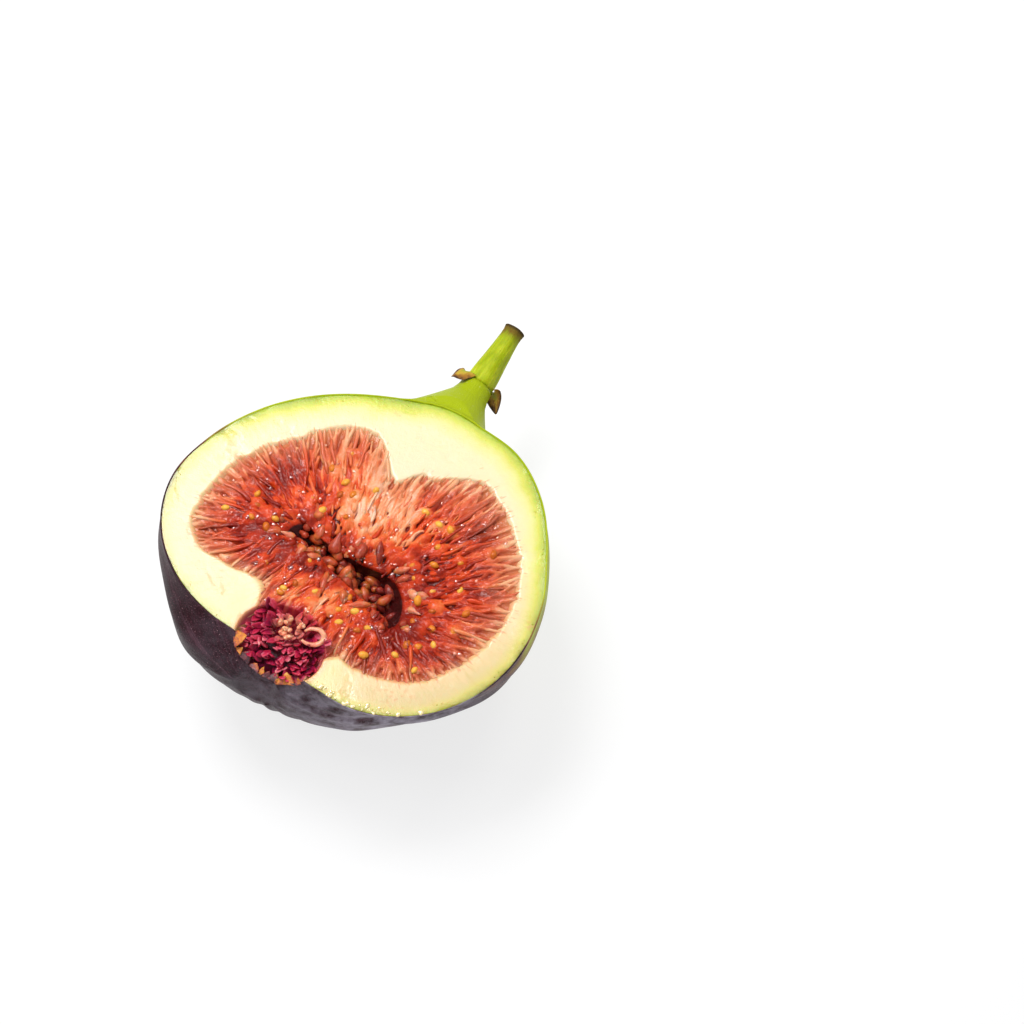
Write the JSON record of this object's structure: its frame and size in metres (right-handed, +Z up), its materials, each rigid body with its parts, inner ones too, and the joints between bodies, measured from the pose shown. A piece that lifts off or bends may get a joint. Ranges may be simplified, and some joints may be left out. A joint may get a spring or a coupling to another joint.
{
  "type": "fresh fig half",
  "caption": "Half of a fresh fig, cut lengthwise and lying on its skin, with red floret pulp, seeds, eye and stem showing.",
  "frame": {"origin": "under the middle of the outer box, on the surface that the half lies on", "axes": "+Z up, out of the cut face; +Y towards the stem's side; +X to the right in the picture"},
  "size_m": [0.0584, 0.066, 0.0311],
  "materials": {
    "skin": "satin dark purple peel with a faint bloom, green towards the neck",
    "flesh": "moist pale cream cut flesh, yellow-green under the skin",
    "pulp": "wet translucent red florets with yellow seeds",
    "eye_scale": "moist magenta scales",
    "dry_scale": "dry orange-brown scale tips",
    "stem": "satin green stem",
    "bract": "dry brown-edged bracts"
  },
  "bodies": {
    "root": {"skin": "skin", "flesh": "flesh", "floret_pulp": "pulp", "eye_scales": "eye_scale", "eye_rim_scales": "dry_scale", "stem": "stem", "bract_1": "bract", "bract_2": "bract", "bract_3": "bract"}
  },
  "joints": []
}
